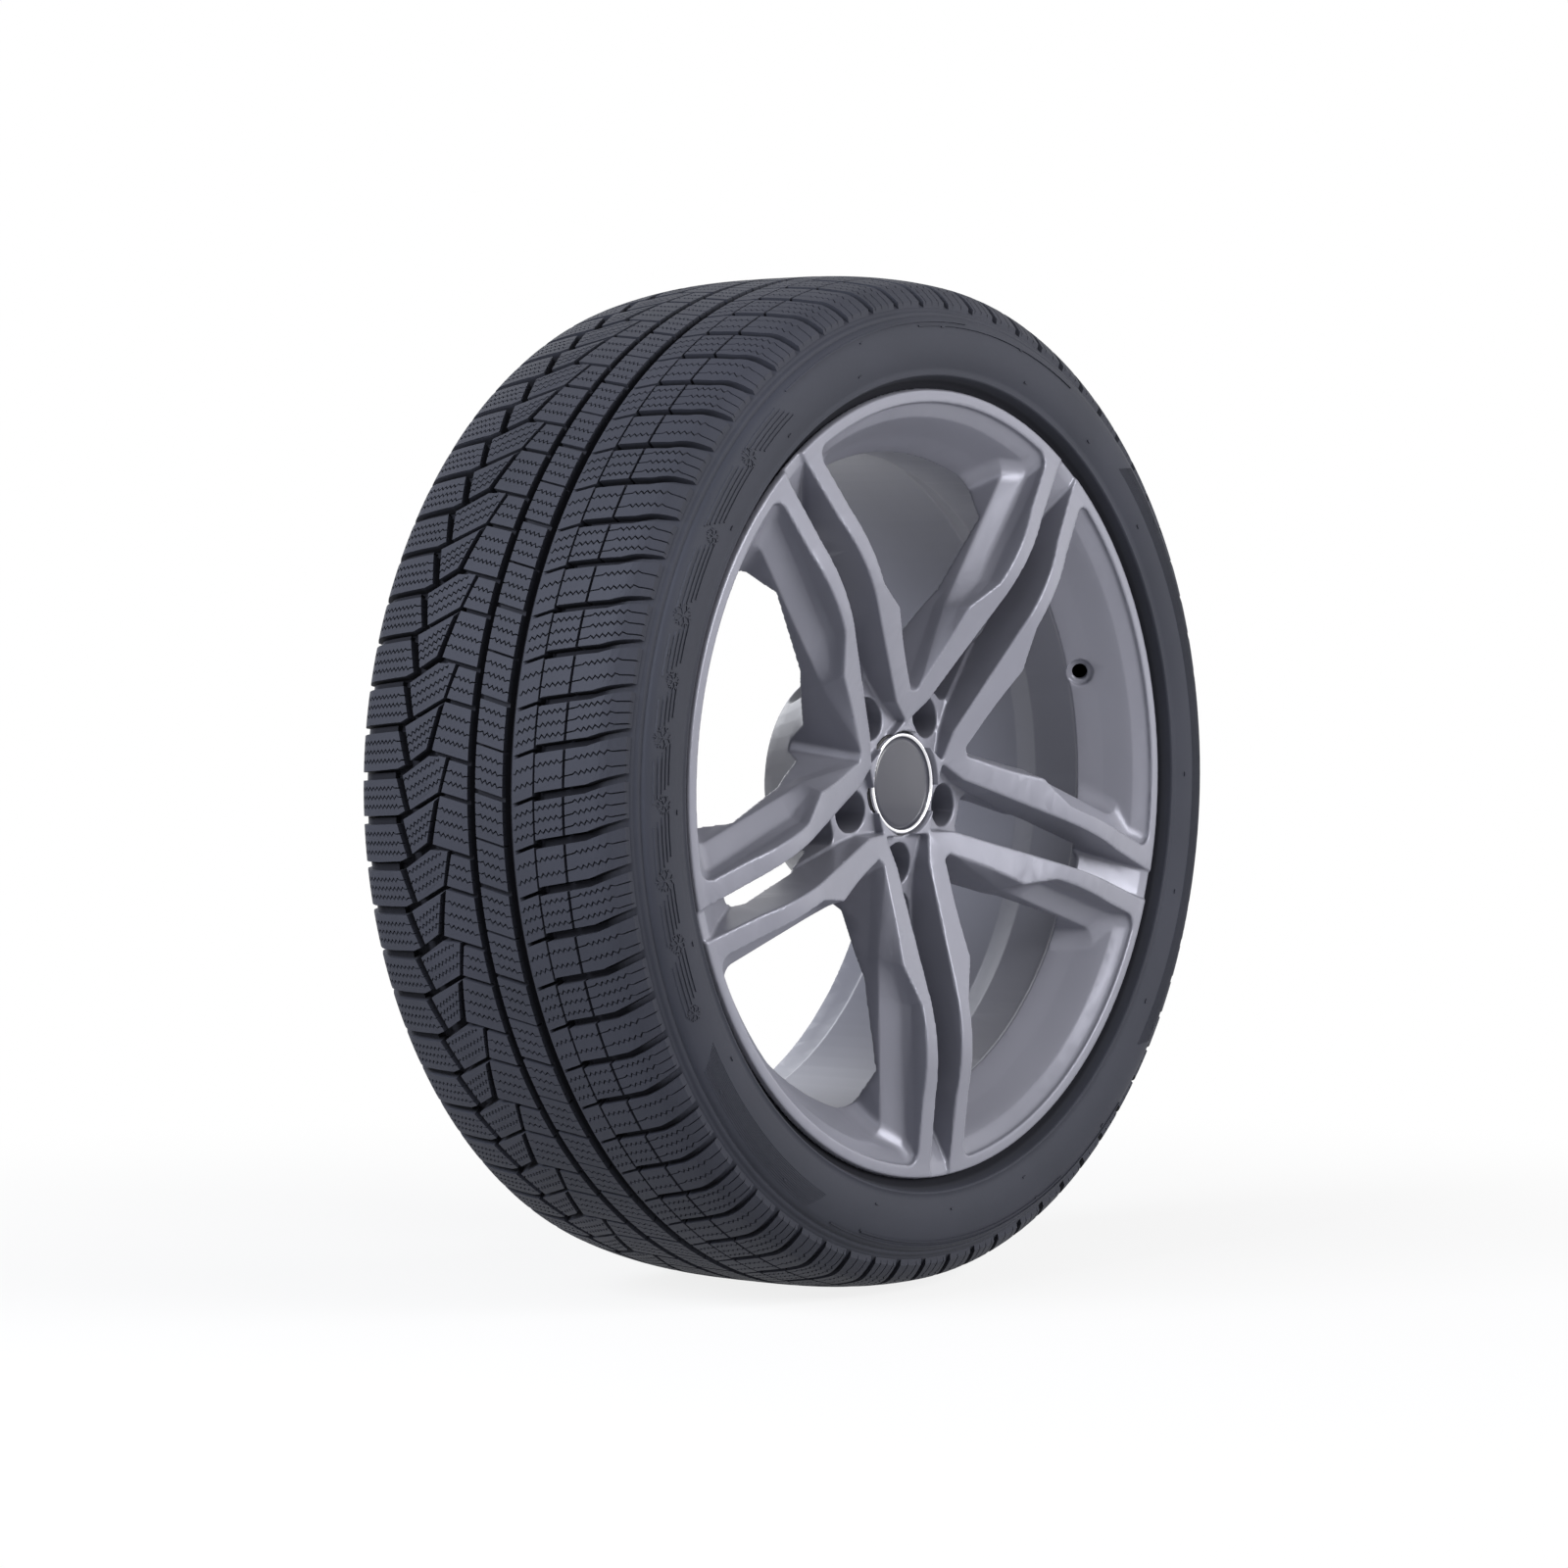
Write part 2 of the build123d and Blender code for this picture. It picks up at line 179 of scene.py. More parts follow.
def group_grain():
    """Shared effect: fine grain and soft blotches, as two masks and a bumped normal."""
    tree = bpy.data.node_groups.new("surface grain", "ShaderNodeTree")
    for name, value in (("Grain size", 900.0), ("Blotch size", 14.0), ("Bump", 0.1)):
        socket = tree.interface.new_socket(name, in_out="INPUT", socket_type="NodeSocketFloat")
        socket.default_value = value
    for name, kind in (("Blotch", "Float"), ("Grain", "Float"), ("Normal", "Vector")):
        tree.interface.new_socket(name, in_out="OUTPUT", socket_type="NodeSocket" + kind)
    into = tree.nodes.new("NodeGroupInput")
    out = tree.nodes.new("NodeGroupOutput")
    place = tree.nodes.new("ShaderNodeTexCoord")
    fine = tree.nodes.new("ShaderNodeTexNoise")
    soft = tree.nodes.new("ShaderNodeTexNoise")
    bump = tree.nodes.new("ShaderNodeBump")
    bump.inputs["Distance"].default_value = GRAIN_HEIGHT
    for noise, size, detail in ((fine, "Grain size", 2.0), (soft, "Blotch size", 4.0)):
        noise.inputs["Detail"].default_value = detail
        tree.links.new(place.outputs["Object"], noise.inputs["Vector"])
        tree.links.new(into.outputs[size], noise.inputs["Scale"])
    tree.links.new(into.outputs["Bump"], bump.inputs["Strength"])
    tree.links.new(fine.outputs["Fac"], bump.inputs["Height"])
    tree.links.new(soft.outputs["Fac"], out.inputs["Blotch"])
    tree.links.new(fine.outputs["Fac"], out.inputs["Grain"])
    tree.links.new(bump.outputs["Normal"], out.inputs["Normal"])
    return tree


def group_groove():
    """Painted shade: a mask that is 1 down in the grooves and beside the flange, and 0 on blocks and
    sidewalls.
    """
    tree = bpy.data.node_groups.new("groove depth", "ShaderNodeTree")
    tree.interface.new_socket("Painted shade", in_out="OUTPUT", socket_type="NodeSocketFloat")
    out = tree.nodes.new("NodeGroupOutput")
    place = tree.nodes.new("ShaderNodeTexCoord")
    split = tree.nodes.new("ShaderNodeSeparateXYZ")
    tree.links.new(place.outputs["Object"], split.inputs[0])
    x, y, z = split.outputs
    square = number(tree, "ADD", number(tree, "MULTIPLY", x, x), number(tree, "MULTIPLY", z, z))
    wide = number(tree, "DIVIDE", number(tree, "ABSOLUTE", y), SHOULDER * MM)
    drop = number(tree, "MULTIPLY", number(tree, "POWER", wide, 3.0), SHOULDER_DROP * MM)
    surface = number(tree, "SUBTRACT", TYRE_RADIUS * MM, drop)
    radius = number(tree, "SQRT", square)
    depth = number(tree, "SUBTRACT", surface, radius)
    deep = ramp(tree, depth, *(d * MM for d in GROOVE_SHADE), 0.0, 1.0)
    within = ramp(tree, wide, *SHOULDER_FADE, 1.0, 0.0)
    channel = ramp(tree, radius, *(r * MM for r in CHANNEL_FADE), 1.0, 0.0)
    groove = number(tree, "MAXIMUM", number(tree, "MULTIPLY", deep, within), channel)
    tree.links.new(groove, out.inputs["Painted shade"])
    return tree


GRAIN = group_grain()


def grained_material(name, dark, light, rough, grain_size, blotch_size, bump):
    """A surface that runs between two tones in soft blotches and carries fine grain in gloss and normal."""
    material, tree, shader = new_material(name)
    grain = tree.nodes.new("ShaderNodeGroup")
    grain.node_tree = GRAIN
    grain.inputs["Grain size"].default_value = grain_size
    grain.inputs["Blotch size"].default_value = blotch_size
    grain.inputs["Bump"].default_value = bump
    tone = tree.nodes.new("ShaderNodeValToRGB")
    for stop, place, colour in zip(tone.color_ramp.elements, BLOTCH_TONES, (dark, light)):
        stop.position = place
        stop.color = (*colour, 1)
    gloss = tree.nodes.new("ShaderNodeMapRange")
    gloss.inputs["To Min"].default_value = rough[0]
    gloss.inputs["To Max"].default_value = rough[1]
    tree.links.new(grain.outputs["Blotch"], tone.inputs["Fac"])
    tree.links.new(grain.outputs["Grain"], gloss.inputs["Value"])
    tree.links.new(tone.outputs["Color"], shader.inputs["Base Color"])
    tree.links.new(gloss.outputs["Result"], shader.inputs["Roughness"])
    tree.links.new(grain.outputs["Normal"], shader.inputs["Normal"])
    return material, shader


def rubber():
    """Bluish black moulded rubber, matt with a faint sheen, duller down in the grooves, with shade painted
    into its colour there and in the channel beside the flange.
    """
    material, shader = grained_material(
        "tyre rubber", (0.015, 0.016, 0.022), (0.020, 0.021, 0.029), rough=(0.62, 0.78),
        grain_size=1400.0, blotch_size=9.0, bump=0.12,
    )
    tree = material.node_tree
    groove = tree.nodes.new("ShaderNodeGroup")
    groove.node_tree = group_groove()
    shade_mask = groove.outputs["Painted shade"]
    tone = shader.inputs["Base Color"].links[0].from_socket
    # Painted shade: the rubber's colour mixed towards near black down in the grooves and beside the flange
    painted_shade = tree.nodes.new("ShaderNodeMix")
    painted_shade.data_type = "RGBA"
    painted_shade.inputs["B"].default_value = PAINTED_GROOVE_SHADE
    tree.links.new(shade_mask, painted_shade.inputs["Factor"])
    tree.links.new(tone, painted_shade.inputs["A"])
    tree.links.new(painted_shade.outputs["Result"], shader.inputs["Base Color"])
    gloss = shader.inputs["Roughness"].links[0].from_socket
    tree.links.new(number(tree, "MAXIMUM", gloss, shade_mask), shader.inputs["Roughness"])
    shader.inputs["Specular IOR Level"].default_value = 0.26
    shader.inputs["Specular Tint"].default_value = (0.84, 0.88, 1.0, 1.0)
    return material


def wheel_paint():
    """Satin metallic titanium-grey paint with fine flake."""
    material, shader = grained_material(
        "wheel paint", (0.148, 0.150, 0.178), (0.168, 0.170, 0.202), rough=(0.28, 0.36),
        grain_size=2600.0, blotch_size=5.0, bump=0.03,
    )
    shader.inputs["Metallic"].default_value = 0.1
    shader.inputs["Specular IOR Level"].default_value = 0.35
    shader.inputs["Specular Tint"].default_value = (0.86, 0.88, 1.0, 1.0)
    return material


def cap_plastic():
    """Matt black moulded plastic."""
    material, _ = grained_material(
        "cap plastic", (0.018, 0.018, 0.020), (0.026, 0.026, 0.029), rough=(0.5, 0.65),
        grain_size=1800.0, blotch_size=30.0, bump=0.1,
    )
    return material


def spring_steel():
    """Drawn spring wire."""
    material, shader = grained_material(
        "spring steel", (0.40, 0.40, 0.41), (0.50, 0.50, 0.51), rough=(0.28, 0.4),
        grain_size=1500.0, blotch_size=60.0, bump=0.05,
    )
    shader.inputs["Metallic"].default_value = 1.0
    return material


def trim_chrome():
    """Polished chrome with faint wipe marks."""
    material, shader = grained_material(
        "trim chrome", (0.72, 0.72, 0.75), (0.80, 0.80, 0.83), rough=(0.06, 0.12),
        grain_size=900.0, blotch_size=40.0, bump=0.01,
    )
    shader.inputs["Metallic"].default_value = 1.0
    return material


def badge_gloss():
    """Dark grey plastic under a faint clear coat."""
    material, shader = grained_material(
        "badge gloss", (0.026, 0.027, 0.038), (0.031, 0.032, 0.044), rough=(0.30, 0.36),
        grain_size=1200.0, blotch_size=25.0, bump=0.01,
    )
    shader.inputs["Specular IOR Level"].default_value = 0.3
    shader.inputs["Coat Weight"].default_value = 0.1
    shader.inputs["Coat Roughness"].default_value = 0.08
    return material


# Tread, laid flat: X runs round the tyre, Y across it, Z out of it
def crown(y):
    """Radius of the tread surface at a place across it."""
    wide = abs(y)
    if wide <= SHOULDER:
        return TYRE_RADIUS - SHOULDER_DROP * (wide / SHOULDER) ** 3
    past = wide - SHOULDER
    slope = 3 * SHOULDER_DROP / SHOULDER
    reach = TREAD_EDGE - SHOULDER
    sag = (EDGE_DROP - SHOULDER_DROP - slope * reach) / reach ** 2
    return TYRE_RADIUS - SHOULDER_DROP - slope * past - sag * past * past


def along(path, y):
    """Place round the tread of a path of (round, across) points at a place across."""
    points = sorted(path, key=lambda p: p[1])
    for (s0, y0), (s1, y1) in zip(points, points[1:]):
        if y <= y1:
            break
    return s0 + (s1 - s0) * (y - y0) / (y1 - y0)


def band(path, knots, start, end):
    """Corners of a band along a path, between two distances round the tread from it."""
    first = [(along(path, y) + start, y) for y in knots]
    second = [(along(path, y) + end, y) for y in knots]
    return first + second[::-1]


def square_to(heading):
    """The direction square to a heading."""
    return Vector((heading.y, -heading.x))


def spread(first, last, count):
    """Places of a number of cuts, evenly between two edges."""
    return [first + (last - first) * (k + 1) / (count + 1) for k in range(count)]


def cut_line(block, normal, offset):
    """Cuts a block's top along a line and returns the edges on it."""
    geom = list(block.verts) + list(block.edges) + list(block.faces)
    cut = bmesh.ops.bisect_plane(block, geom=geom, dist=1e-4, plane_co=normal * offset, plane_no=normal)
    return [e for e in cut["geom_cut"] if isinstance(e, bmesh.types.BMEdge)]


def clear_of(corners, square, offset):
    """The place of a cut, moved a little where it would run into a corner of its block."""
    for corner in corners:
        gap = offset - square.dot(Vector((*corner, 0)))
        if abs(gap) < SIPE_CLEAR:
            offset += math.copysign(SIPE_CLEAR - abs(gap), gap)
    return offset


def cut_sipes(block, corners, sipes, heading, straight):
    """Cuts zigzag grooves into a block's top; straight is the length at each end without zigzag."""
    heading = heading.to_3d()
    square = square_to(heading).to_3d()
    plain = straight + SIPE_PLAIN_END
    cuts = []
    for offset in [clear_of(corners, square, place) for place in sipes]:
        edges = cut_line(block, square, offset)
        ends = sorted(v.co.dot(heading) for e in edges for v in e.verts)
        for edge in edges:
            count = round(edge.calc_length() / SIPE_STEP)
            if count > 1:
                bmesh.ops.subdivide_edges(block, edges=[edge], cuts=count - 1)
        cuts.append((offset, ends[0] + plain, ends[-1] - plain))
    lines = []
    for offset, start, end in cuts:
        on_line = [v for v in block.verts if abs(v.co.dot(square) - offset) < 1e-3]
        on_line.sort(key=lambda v: v.co.dot(heading))
        marked = set(on_line)
        lines += [e for e in block.edges if set(e.verts) <= marked]
        for k, v in enumerate(on_line):
            if start < v.co.dot(heading) < end:
                v.co += square * (SIPE_SWING if k % 2 else -SIPE_SWING)
    bevel = bmesh.ops.bevel(block, geom=lines, offset=SIPE_HALF_WIDTH, offset_type="OFFSET", segments=2,
                            profile=0.5, affect="EDGES", clamp_overlap=False, material=-1)
    walls = set(bevel["faces"])
    for v in {v for f in walls for v in f.verts}:
        if all(f in walls for f in v.link_faces):
            v.co.z = -SIPE_DEPTH


def in_line(vert, edges):
    """Whether two edges run straight on through a vertex."""
    if len(edges) != 2:
        return False
    first, second = ((e.other_vert(vert).co - vert.co).normalized() for e in edges)
    return first.dot(second) < -0.9999


def close_below(block, depth):
    """Gives a flat top its walls and a bottom that is sunk a little into the floor of the grooves."""
    rim = [e for e in block.edges if e.is_boundary]
    skirt = bmesh.ops.extrude_edge_only(block, edges=rim)["geom"]
    for v in [v for v in skirt if isinstance(v, bmesh.types.BMVert)]:
        v.co.z = -depth - SUNK
    spare = []
    for v in [v for v in block.verts if v.co.z < -depth]:
        if in_line(v, [e for e in v.link_edges if e.other_vert(v).co.z < -depth]):
            spare.append(v)
    bmesh.ops.dissolve_verts(block, verts=spare)
    foot = [e for e in block.edges if all(v.co.z < -depth for v in e.verts)]
    bmesh.ops.contextual_create(block, geom=foot)
    bmesh.ops.recalc_face_normals(block, faces=list(block.faces))


def tread_block(corners, sipes=(), heading=None, top=0.0, straight=0.0, rows=0.0):
    """One block of the tread, or a raised groove floor: a closed prism whose top may carry zigzag cuts.

    corners are (round, across) points. sipes are the places of the cuts, measured square to heading.
    top is the height of the block's top over the tread's surface. rows is the spacing of the extra cuts
    across the block that let it follow the curve of the shoulder.
    """
    block = bmesh.new()
    block.faces.new([block.verts.new((s, y, 0.0)) for s, y in corners])
    block.normal_update()
    if rows:
        low = min(y for _, y in corners)
        high = max(y for _, y in corners)
        for k in range(1, int((high - low) / rows) + 1):
            cut_line(block, Vector((0, 1, 0)), low + rows * k)
    if sipes:
        cut_sipes(block, corners, sipes, heading, straight)
    close_below(block, GROOVE_DEPTH + top)
    for v in block.verts:
        v.co.z += top
    return block


# Spacing of the cuts that bend blocks and groove floors round the shoulders
BLOCK_ROWS = 4.0
FLOOR_ROWS = 5.0

# Outer shoulder: a lateral groove that starts narrow and lifts at its outer end
OUTER_PATH = [(-6.5, -36.0), (0.0, -56.0), (5.6, -92.0), (13.5, -TREAD_EDGE)]
OUTER_WIDTH = 5.8
OUTER_NARROW = 2.6
OUTER_SIPES = [2, 3]
OUTER_AIM = -100.0
OUTER_FLOOR = -4.8
OUTER_FLOOR_FROM = -58.0
OUTER_FLOOR_REACH = (-OUTER_WIDTH / 2 - 0.3, OUTER_WIDTH / 2 - 1.4)

# The three parts of an outer block: from, to, width of the groove, plain end of the cuts, rows
OUTER_PARTS = [
    (-36.0, -52.3, OUTER_NARROW, 0.0, 0.0),
    (-53.9, -75.0, OUTER_WIDTH, 0.0, 0.0),
    (-77.0, -TREAD_EDGE, OUTER_WIDTH, 6.0, BLOCK_ROWS),
]


def outer_knots(near, far):
    """Places across the outer shoulder where its blocks have corners."""
    return [near] + [y for _, y in OUTER_PATH if far < y < near] + [far]


def outer_row(unit):
    """Outer shoulder blocks of two pitches, each in three parts, and the floors between them."""
    for pitch, count in enumerate(OUTER_SIPES):
        for near, far, width, straight, rows in OUTER_PARTS:
            aim = max(far, OUTER_AIM)
            start = Vector((along(OUTER_PATH, near), near))
            end = Vector((along(OUTER_PATH, aim), aim))
            heading = (end - start).normalized()
            square = square_to(heading)
            first = square.dot(start)
            sipes = spread(first, first + square.x * PITCH, count)
            corners = band(OUTER_PATH, outer_knots(near, far), width / 2, PITCH - width / 2)
            pour(unit, tread_block(corners, sipes, heading, straight=straight, rows=rows), PITCH * pitch)
        corners = band(OUTER_PATH, outer_knots(OUTER_FLOOR_FROM, -TREAD_EDGE), *OUTER_FLOOR_REACH)
        pour(unit, tread_block(corners, top=OUTER_FLOOR, rows=FLOOR_ROWS), PITCH * pitch)


# Rib between the wide and the narrow groove, parted by a broad and a thin slanted slot in turn
MIDDLE_RIB = (-27.5, -4.5)
MIDDLE_PATH = [(-3.0, -28.5), (3.0, -3.5)]
MIDDLE_SLOTS = [3.2, 1.6]
MIDDLE_FLOORS = [-3.5, -5.5]
RIB_STRAIGHT = 2.0


def middle_rib(unit):
    """Blocks of the middle rib, two pitches of them, and the floors of its slots."""
    near, far = MIDDLE_RIB
    start = Vector((along(MIDDLE_PATH, near), near))
    end = Vector((along(MIDDLE_PATH, far), far))
    heading = (end - start).normalized()
    square = square_to(heading)
    first = square.dot(start)
    sipes = spread(first, first + square.x * PITCH, 3)
    for pitch in range(2):
        below = MIDDLE_SLOTS[pitch] / 2
        above = MIDDLE_SLOTS[1 - pitch] / 2
        corners = band(MIDDLE_PATH, MIDDLE_RIB, below, PITCH - above)
        pour(unit, tread_block(corners, sipes, heading, straight=RIB_STRAIGHT), PITCH * pitch)
        corners = band(MIDDLE_PATH, MIDDLE_RIB, -below, below)
        pour(unit, tread_block(corners, top=MIDDLE_FLOORS[pitch]), PITCH * pitch)


# Inner half: two kinds of groove, each steep beside the rib, then slanting out to the shoulder
THIN_GROOVE = [(24.0, 20.0), (0.0, 26.6), (-13.8, 56.0), (-18.0, 66.0), (-21.0, TREAD_EDGE)]
THICK_GROOVE = [(-5.0, 29.0), (-34.0, 37.0), (-45.6, 58.0), (-49.5, 68.0), (-52.0, TREAD_EDGE)]
THICK_ABOVE = [(s + 2 * PITCH, y) for s, y in THICK_GROOVE]
THIN_WIDTH = 3.2
THICK_WIDTH = 5.4

# Groove below and above a block, their widths, and the number of cuts in the rib block beside it
INNER_PAIRS = [
    (THIN_GROOVE, THICK_ABOVE, THIN_WIDTH, THICK_WIDTH, 2),
    (THICK_GROOVE, THIN_GROOVE, THICK_WIDTH, THIN_WIDTH, 3),
]

INNER_RIB_FROM = 2.5
INNER_RIB_SLANT = 0.21
INNER_RIB_GAP = 1.5
INNER_RIB_FLOOR = -4.0

# Slot between the slanted blocks and the shoulder blocks
SHORT_SLOT = 56.0
SHORT_SLOT_WIDTH = 4.4
SLANTED_STEP = 7.0
SLANTED_TIP_GAP = 0.5
SLANTED_STRAIGHT = 1.0

INNER_SHOULDER_INSET = 1.0
INNER_SHOULDER_STEP = 8.0
INNER_SHOULDER_LEAN = -0.05
INNER_SHOULDER_STRAIGHT = 4.0
INNER_LOW_KNOTS = (66.0, 90.0, TREAD_EDGE)
INNER_HIGH_KNOTS = (68.0, 90.0, TREAD_EDGE)
LATERAL_WIDTH = 6.0
INNER_FLOOR = -4.0
INNER_FLOOR_KNOTS = (72.0, 90.0, TREAD_EDGE)
INNER_FLOOR_REACH = (-LATERAL_WIDTH / 2, LATERAL_WIDTH / 2 - 1.6)


def rib_slot(bend, y):
    """Place round the tread of a slot in the inner rib that runs into the bend of a groove."""
    return bend[0] - INNER_RIB_SLANT * (bend[1] - y)


def inner_rib(unit):
    """Rib blocks of the inner half, one kind beside each steep groove, and the floors of their slots."""
    heading = Vector((INNER_RIB_SLANT, 1.0)).normalized()
    square = square_to(heading)
    gap = INNER_RIB_GAP
    near = INNER_RIB_FROM
    for below, above, width, _, count in INNER_PAIRS:
        bend = below[1]
        low_y = bend[1] - width / 2
        high_y = below[0][1] - width / 2
        corners = [
            (rib_slot(bend, near) + gap, near),
            (rib_slot(bend, low_y) + gap, low_y),
            (rib_slot(above[1], high_y) - gap, high_y),
            (rib_slot(above[1], near) - gap, near),
        ]
        sipes = spread(square.dot(Vector(corners[0])), square.dot(Vector(corners[3])), count)
        pour(unit, tread_block(corners, sipes, heading, straight=RIB_STRAIGHT))
        floor = [
            (rib_slot(bend, near) - gap, near),
            (rib_slot(bend, near) + gap, near),
            (rib_slot(bend, low_y) + gap, low_y),
            (rib_slot(bend, low_y) - gap, low_y),
        ]
        pour(unit, tread_block(floor, top=INNER_RIB_FLOOR))


def slanted_blocks(unit):
    """Slanted blocks between the grooves of the inner half."""
    edge_y = SHORT_SLOT - SHORT_SLOT_WIDTH / 2
    high_y = edge_y + SLANTED_STEP
    for below, above, width, above_width, _ in INNER_PAIRS:
        steep, bend, out = below[:3]
        rise = (bend[0] - out[0]) / (bend[1] - out[1])
        clear = width / 2 * math.hypot(1, rise)
        above_bend, above_out = above[1:3]
        above_rise = (above_bend[0] - above_out[0]) / (above_bend[1] - above_out[1])
        above_clear = above_width / 2 * math.hypot(1, above_rise)
        bend_y = bend[1] + width / 2
        corners = [
            (bend[0] + rise * (bend_y - bend[1]) + clear, bend_y),
            (out[0] + rise * (edge_y - out[1]) + clear, edge_y),
            (above_bend[0] + above_rise * (high_y - above_bend[1]) - above_clear, high_y),
            (above_bend[0] - above_clear, above_bend[1]),
            (min(steep[0], above_bend[0] - above_clear - SLANTED_TIP_GAP), steep[1] + width / 2),
        ]
        heading = Vector((out[0] - bend[0], out[1] - bend[1])).normalized()
        square = square_to(heading)
        sipes = spread(square.dot(Vector(corners[0])), square.dot(Vector(corners[3])), 3)
        pour(unit, tread_block(corners, sipes, heading, straight=SLANTED_STRAIGHT))


def inner_shoulder(unit):
    """Shoulder blocks of the inner half and the floors between them."""
    half = LATERAL_WIDTH / 2
    low_y = SHORT_SLOT + SHORT_SLOT_WIDTH / 2 + INNER_SHOULDER_INSET
    high_y = low_y + INNER_SHOULDER_STEP
    heading = Vector((INNER_SHOULDER_LEAN, 1.0)).normalized()
    square = square_to(heading)
    for below, above, _, _, _ in INNER_PAIRS:
        low = [(along(below[2:], y) + half, y) for y in (low_y, *INNER_LOW_KNOTS)]
        high = [(along(above[2:], y) - half, y) for y in (high_y, *INNER_HIGH_KNOTS)]
        sipes = spread(square.dot(Vector(low[2])), square.dot(Vector(high[2])), 3)
        pour(unit, tread_block(low + high[::-1], sipes, heading, straight=INNER_SHOULDER_STRAIGHT,
                               rows=BLOCK_ROWS))
        corners = band(below[2:], INNER_FLOOR_KNOTS, *INNER_FLOOR_REACH)
        pour(unit, tread_block(corners, top=INNER_FLOOR, rows=FLOOR_ROWS))


def tread_unit():
    """Two pitches of the whole tread, bent to the tyre's curve at its top."""
    unit = bmesh.new()
    outer_row(unit)
    middle_rib(unit)
    inner_rib(unit)
    slanted_blocks(unit)
    inner_shoulder(unit)
    for v in unit.verts:
        angle = v.co.x / TYRE_RADIUS
        radius = crown(v.co.y) + v.co.z
        v.co = Vector((radius * math.sin(angle), v.co.y, radius * math.cos(angle))) * MM
    return unit


# Half outline of the tyre as (radius, across) points, from the groove floors round to the air chamber
FLOOR_KNOTS = (0.0, 20.0, 40.0, 60.0, 75.0, 88.0, SHOULDER)
FLOOR_EDGE = TYRE_RADIUS - 25.0
TREAD_END = [(FLOOR_EDGE + 5.0, 106.0), (FLOOR_EDGE, TREAD_EDGE - 0.2)]
SIDEWALL = [
    (FLOOR_EDGE - 1.6, TREAD_EDGE + 1.2),
    (FLOOR_EDGE - 2.6, TREAD_EDGE + 1.4),
    (FLOOR_EDGE - 3.0, TREAD_EDGE + 2.6),
    (FLOOR_EDGE - 5.0, 117.6),
    (FLOOR_EDGE - 5.5, 117.2),
    (FLOOR_EDGE - 6.3, 117.9),
    (FLOOR_EDGE - 6.6, 118.9),
    (319.6, 120.6),
    (316.0, 122.3),
    (311.0, 124.1),
    (305.5, 124.9),
    (300.0, 125.2),
    (295.0, 124.9),
    (290.5, 124.0),
    (286.0, 122.6),
    (282.6, 121.2),
    (281.8, 122.0),
    (280.6, 121.9),
    (280.0, 120.2),
    (278.6, 116.4),
    (276.4, 112.6),
]
BEAD = [(273.2, 111.0), (272.0, 110.6), (256.4, 108.0), (254.7, 88.0)]
AIR_CHAMBER = [(272.0, 96.0), (300.0, 117.0), (326.0, 94.0), (335.0, 60.0), (335.0, 0.0)]

# Slope on the outer wall of the wide groove, as (depth, across) points
SLOPE = [(GROOVE_DEPTH, 30.6), (4.6, 31.2), (0.8, 35.2), (0.8, 37.0), (GROOVE_DEPTH, 38.0)]
STEPS_ROUND = 180


def casing():
    """The revolved body of the tyre under its blocks: groove floors, sidewalls, beads and air chamber."""
    floor = [(crown(y) - GROOVE_DEPTH, y) for y in FLOOR_KNOTS]
    half = floor + TREAD_END + SIDEWALL + BEAD + AIR_CHAMBER
    outer_half = [(r, -y) for r, y in reversed(half[2:-1])]
    slope = [(crown(y) - depth, -y) for depth, y in reversed(SLOPE)]
    return turned(half + outer_half + slope + [(half[1][0], -half[1][1])], STEPS_ROUND)


# Relief on the outer sidewall; angles run anticlockwise from +X as seen from the outer side
RELIEF_FOOT = 0.4
RIDGE_STEP = 2.5
STRIPE_RADII = (302.0, 305.2, 308.4, 311.6, 314.8)
STRIPE_GROUPS = [
    (126, 133.5), (136.5, 145.5), (148.5, 156.5), (159.7, 164.7), (167.4, 171.5), (174.7, 179.7),
    (182.4, 188.4), (191.7, 196.7), (199.4, 205.8),
]
STRIPE_LEAN = 0.55
STRIPE_WIDTH = 1.7
STRIPE_HEIGHT = 0.8

# Stars as (angle, radius, length of an arm); twigs as shares of an arm
STARS = [
    (135, 309, 6.6), (147, 306, 5.6), (158, 309, 7.6), (166, 306, 5.8), (173, 309, 7.4), (181, 306, 6.2),
    (190, 309, 7.4), (198, 307, 6.6), (207, 309, 5.6),
]
STAR_ARMS = 6
STAR_HEIGHT = 0.75
ARM_WIDTH = 0.8
TWIG_WIDTH = 0.7
TWIG_TURN = 55
TWIG_PLACE = 0.62
TWIG_LENGTH = 0.42

PANELS = [(-40, 47), (212, 243)]
PANEL_RADII = (303.0, 318.0)
PANEL_RIB = 1.25
PANEL_RIB_SHARE = 0.9
PANEL_HEIGHT = 0.35
PANEL_LEAN = 0.22
LONG_RIDGES = [(317.4, 86, 124), (317.4, 246, 312), (314.4, 62, 96), (314.4, 252, 296)]
LONG_RIDGE_SIZE = (1.5, 1.0)
VENTS = 30
VENT_RADII = (293.0, 313.5)
VENT_SIZE = (3.2, 1.1, 0.8)
VENT_STAGGER = 7


def wall_y(radius):
    """How far the sidewall stands out from the tyre's middle at a radius."""
    for (r1, y1), (r0, y0) in zip(SIDEWALL, SIDEWALL[1:]):
        if r0 <= radius <= r1:
            return y0 + (y1 - y0) * (radius - r0) / (r1 - r0)
    return SIDEWALL[-1][1]


def on_wall(radius, angle, height):
    """A point on the outer sidewall, or above it, in metres."""
    turn = math.radians(angle)
    return Vector((radius * math.cos(turn), -wall_y(radius) - height, radius * math.sin(turn))) * MM


